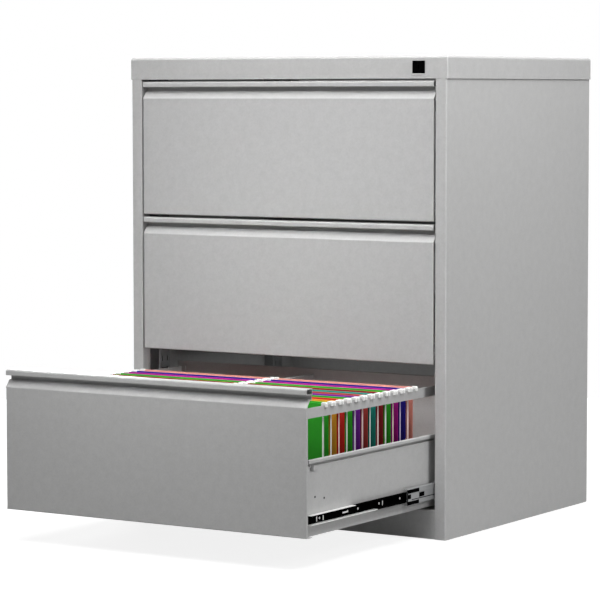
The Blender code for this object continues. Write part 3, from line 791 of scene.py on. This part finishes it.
for side, sign in HANDS:
    card_ends = sorted((sign * pocket_inner, sign * pocket_outer))
    hook_sections = other_hand((outer_hook, inner_hook), sign)
    for index, (card_name, page_name) in enumerate(file_order):
        near = first_near + index * FILE_PITCH
        far = near + FILE_MOUTH
        card_sheet = bent([
            (near + HEM_FOLD, card_top - HEM_LENGTH),
            (near + HEM_FOLD, card_top),
            (near + CARD_PLAY, card_top),
            (near + CARD_PLAY, bottom + FOOT),
            (near + FILE_MOUTH / 2, bottom),
            (far - CARD_PLAY, bottom + FOOT),
            (far - CARD_PLAY, card_top),
            (far - HEM_FOLD, card_top),
            (far - HEM_FOLD, card_top - HEM_LENGTH),
        ], CARD, CARD_BENDS)
        folder = drawn(f"file_{side}_{index + 1}", card_sheet, "X", card_ends,
                       [card_finishes[card_name]])
        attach(folder, "bottom_drawer")
        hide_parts(f"hanging_files_{side}")
        leaves = []
        for leaf in range(PAGES):
            sway = math.sin(SWAY_BY_PAGE * leaf + SWAY_BY_FILE * index)
            leaf_near = near + PAGES_START + leaf * PAGES_DEPTH / PAGES
            leaf_far = leaf_near + PAGE_FILL * PAGES_DEPTH / PAGES
            left, right = sorted((sign * (pocket_inner + PAGE_INNER + INNER_SWAY * sway),
                                  sign * (pocket_outer - PAGE_OUTER + OUTER_SWAY * sway)))
            leaf_low = bottom + FOOT + PAGES_FOOT
            leaf_high = rail_top - PAGES_DROP - TOP_SWAY * abs(sway)
            leaves.append(((left, leaf_near, leaf_low), (right, leaf_far, leaf_high)))
        pages = plates(f"pages_{side}_{index + 1}", leaves, page_finishes[page_name])
        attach(pages, "bottom_drawer")
        hooks = hook_ends(f"hooks_{side}_{index + 1}", hook_sections,
                          (near + ROD_INSET, far - ROD_INSET), white_moulding)
        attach(hooks, "bottom_drawer")

# Lid. A shallow pan folded from sheet steel, its corners welded and ground, then powder coated. It
# sits over the side panels, and its front skirt has a hole for the lock's barrel.
LID_EDGE = 0.006
LID_CORNER = 0.003
LEAST_CORNER = 0.0004
LOCK_HOLE = 0.0196
QUARTER = math.radians(90)
lid_low, lid_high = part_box("top_cover")
lock_low, lock_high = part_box("lock_housing")
lock_middle = (lock_low + lock_high) / 2


def lid_ring(shape, inset, z):
    """One level of the lid: a rectangle with rounded corners, drawn in by an inset."""
    radius = max(LID_CORNER - inset, LEAST_CORNER)
    ring = []
    for turn, (x, y) in enumerate(((1, 1), (-1, 1), (-1, -1), (1, -1))):
        centre_x = x * (lid_high.x - inset - radius)
        centre_y = lid_high.y - inset - radius if y > 0 else lid_low.y + inset + radius
        for step in range(BEND_STEPS + 1):
            angle = QUARTER * (turn + step / BEND_STEPS)
            ring.append(shape.verts.new((centre_x + radius * math.cos(angle),
                                         centre_y + radius * math.sin(angle), z)))
    return ring


def lid_levels(radius):
    """The (inset, height) steps of one of the lid's faces, from its flat top down to its rim."""
    steps = []
    for step in range(BEND_STEPS + 1):
        angle = QUARTER * (1 - step / BEND_STEPS)
        steps.append((LID_EDGE - radius * math.cos(angle),
                      lid_high.z - LID_EDGE + radius * math.sin(angle)))
    return steps + [(LID_EDGE - radius, lid_low.z)]


def skirt_faces(shape, across, up):
    """The faces of the front skirt that lie nearer to the lock's middle than across and up."""
    chosen = []
    for face in shape.faces:
        spot = face.calc_center_median()
        near = abs(spot.x - lock_middle.x) < across and abs(spot.z - lock_middle.z) < up
        if near and spot.y < lid_low.y + 2 * SHEET:
            chosen.append(face)
    return chosen


shape = bmesh.new()
levels = lid_levels(LID_EDGE) + lid_levels(LID_EDGE - SHEET)[::-1]
rings = [lid_ring(shape, inset, z) for inset, z in levels]
for upper, lower in zip(rings, rings[1:]):
    for index in range(len(upper)):
        beside = (index + 1) % len(upper)
        shape.faces.new((upper[index], upper[beside], lower[beside], lower[index]))
shape.faces.new(rings[0])
shape.faces.new(rings[-1])
half_hole = LOCK_HOLE / 2
for axis, across in ((Vector((1, 0, 0)), math.inf), (Vector((0, 0, 1)), half_hole)):
    for half in (-half_hole, half_hole):
        skirt = skirt_faces(shape, across, math.inf)
        cut = dict.fromkeys(part for face in skirt for part in (face, *face.edges, *face.verts))
        bmesh.ops.bisect_plane(shape, geom=list(cut), plane_co=lock_middle + axis * half,
                               plane_no=axis)
bmesh.ops.delete(shape, geom=skirt_faces(shape, half_hole, half_hole), context="FACES")
bmesh.ops.bridge_loops(shape, edges=[edge for edge in shape.edges if edge.is_boundary])
lid = made("lid", shape, grey_coat)
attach(lid, "cabinet")
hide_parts("top_cover")

# Lock. A square black face plate, with a bright strip under it that paints the highlight on
# the plate's lower edge, on a barrel fixed through the lid's skirt. Its plug turns a plated cam
# whose pin drops a plated bar behind the post, in front of the drawers' catches.
HIGHLIGHT_STRIP_FRONT = 0.0012
HIGHLIGHT_STRIP_BACK = 0.0001
HIGHLIGHT_STRIP_LOW = 0.0022
HIGHLIGHT_STRIP_TOP = 0.0003
dress("lock_housing", black_moulding)
dress("lock_plug", black_moulding)
dress("lock_cam", zinc_plate)
dress("lock_bar", zinc_plate)
# A bright strip under the face plate: painted highlight for the light its lower edge catches.
highlight_strip = plates("lock_painted_highlight", [((lock_low.x, front - HIGHLIGHT_STRIP_FRONT, lock_low.z - HIGHLIGHT_STRIP_LOW),
                             (lock_high.x, front - HIGHLIGHT_STRIP_BACK, lock_low.z - HIGHLIGHT_STRIP_TOP))], bare_steel_and_highlight)
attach(highlight_strip, "cabinet")

# Studio. A pale floor, a white surround that lights little by itself, and soft lamps above, in
# front, at the sides, behind and in the drawers' bays.
FLOOR_RADIUS = 2.6
FLOOR_SIDES = 96
FLOOR_COLOUR = (0.3, 0.3, 0.3, 1.0)
FLOOR_GLOW = 0.85
WHITE = (1.0, 1.0, 1.0, 1.0)
SURROUND_SEEN = 1.0
SURROUND_LIGHT = 0.03
# Each lamp's name, watts, width, beam in degrees, place and the point it faces.
LAMPS = (
    ("top_lamp", 103.0, 2.0, 180, (0.0, -2.0, 4.2), (0.0, -0.2, 0.5)),
    ("side_lamp", 27.0, 0.4, 180, (1.7, -0.2, 2.3), (0.3, 0.25, 0.6)),
    ("low_side_lamp", 15.0, 0.8, 180, (3.0, 0.2, 1.9), (0.4, 0.25, 0.5)),
    ("far_side_lamp", 110.0, 1.0, 180, (2.4, -0.4, 6.5), (0.38, 0.2, 0.5)),
    ("front_lamp", 15.4, 1.4, 180, (0.4, -1.25, 1.95), (0.1, 0.0, 0.6)),
    ("middle_lamp", 0.8, 0.8, 18, (0.1, -2.6, 2.0), (0.0, -0.08, 0.52)),
    ("back_lamp", 130.0, 1.2, 180, (-2.4, 3.0, 0.9), (-0.1, 0.3, 0.5)),
    ("lower_bay_lamp", 0.24, 0.5, 180, (-0.12, 0.3, 0.345), (-0.12, 0.3, 0.0)),
    ("lower_bay_left_lamp", 0.014, 0.05, 40, (0.0, -0.045, 0.34), (-0.4, -0.045, 0.34)),
    ("drawer_back_lamp", 0.03, 0.28, 180, (0.12, -0.056, 0.22), (0.12, 0.03, 0.22)),
    ("drawer_corner_lamp", 0.04, 0.15, 180, (0.28, -0.056, 0.2), (0.28, 0.03, 0.2)),
    ("middle_bay_lamp", 0.3, 0.3, 180, (0.05, 0.0, 0.55), (0.05, 0.5, 0.6)),
    ("upper_bay_lamp", 0.3, 0.3, 180, (0.05, 0.0, 0.85), (0.05, 0.5, 0.9)),
)


def seen_white(tree):
    """1 where a surface is seen by the camera or in a reflection, 0 where it lights something."""
    path = tree.nodes.new("ShaderNodeLightPath")
    total = path.outputs["Is Camera Ray"]
    for kind in ("Is Glossy Ray", "Is Transmission Ray"):
        add = tree.nodes.new("ShaderNodeMath")
        add.operation = "MAXIMUM"
        tree.links.new(total, add.inputs[0])
        tree.links.new(path.outputs[kind], add.inputs[1])
        total = add.outputs["Value"]
    return total


shape = bmesh.new()
bmesh.ops.create_circle(shape, cap_ends=True, segments=FLOOR_SIDES, radius=FLOOR_RADIUS)
floor_look = bpy.data.materials.new("pale_floor")
floor_look.use_nodes = True
tree = floor_look.node_tree
tree.nodes.clear()
dull = tree.nodes.new("ShaderNodeBsdfDiffuse")
dull.inputs["Color"].default_value = FLOOR_COLOUR
glow = tree.nodes.new("ShaderNodeEmission")
glow.inputs["Strength"].default_value = FLOOR_GLOW
both = tree.nodes.new("ShaderNodeAddShader")
tree.links.new(dull.outputs["BSDF"], both.inputs[0])
tree.links.new(glow.outputs["Emission"], both.inputs[1])
choice = tree.nodes.new("ShaderNodeMixShader")
tree.links.new(seen_white(tree), choice.inputs["Fac"])
tree.links.new(dull.outputs["BSDF"], choice.inputs[1])
tree.links.new(both.outputs["Shader"], choice.inputs[2])
out = tree.nodes.new("ShaderNodeOutputMaterial")
tree.links.new(choice.outputs["Shader"], out.inputs["Surface"])
floor_mesh = bpy.data.meshes.new("floor")
shape.to_mesh(floor_mesh)
shape.free()
floor_mesh.materials.append(floor_look)
floor = bpy.data.objects.new("floor", floor_mesh)
bpy.context.scene.collection.objects.link(floor)

world = bpy.data.worlds.new("surround")
bpy.context.scene.world = world
world.use_nodes = True
tree = world.node_tree
tree.nodes.clear()
choice = tree.nodes.new("ShaderNodeMixShader")
tree.links.new(seen_white(tree), choice.inputs["Fac"])
for socket, strength in ((1, SURROUND_LIGHT), (2, SURROUND_SEEN)):
    surround = tree.nodes.new("ShaderNodeBackground")
    surround.inputs["Color"].default_value = WHITE
    surround.inputs["Strength"].default_value = strength
    tree.links.new(surround.outputs["Background"], choice.inputs[socket])
out = tree.nodes.new("ShaderNodeOutputWorld")
tree.links.new(choice.outputs["Shader"], out.inputs["Surface"])

for name, power, width, beam, place, target in LAMPS:
    light = bpy.data.lights.new(name, "AREA")
    light.energy = power
    light.size = width
    light.spread = math.radians(beam)
    lamp = bpy.data.objects.new(name, light)
    lamp.location = place
    lamp.visible_camera = False
    lamp.rotation_euler = (Vector(target) - Vector(place)).to_track_quat("-Z", "Y").to_euler()
    bpy.context.scene.collection.objects.link(lamp)

# Camera. A long lens to the front and right of the cabinet, a little below the height of its top
# and tipped slightly down.
AZIMUTH = math.radians(32.526)
PITCH = math.radians(4.2857)
ROLL = math.radians(-0.0677)
SENSOR_WIDTH = 36.0
FOCAL_LENGTH = 165.58
CAMERA_PLACE = (3.24057, -5.0992, 0.94164)
camera_data = bpy.data.cameras.new("camera")
camera_data.sensor_width = SENSOR_WIDTH
camera_data.lens = FOCAL_LENGTH
camera = bpy.data.objects.new("camera", camera_data)
forward = Vector((
    -math.sin(AZIMUTH) * math.cos(PITCH),
    math.cos(AZIMUTH) * math.cos(PITCH),
    -math.sin(PITCH),
))
level_right = Vector((math.cos(AZIMUTH), math.sin(AZIMUTH), 0))
level_up = level_right.cross(forward)
right = level_right * math.cos(ROLL) + level_up * math.sin(ROLL)
up = level_up * math.cos(ROLL) - level_right * math.sin(ROLL)
turned = Matrix((right, up, -forward)).transposed()
camera.matrix_world = Matrix.Translation(CAMERA_PLACE) @ turned.to_4x4()
bpy.context.scene.collection.objects.link(camera)
bpy.context.scene.camera = camera
bpy.context.scene.view_settings.view_transform = "Standard"
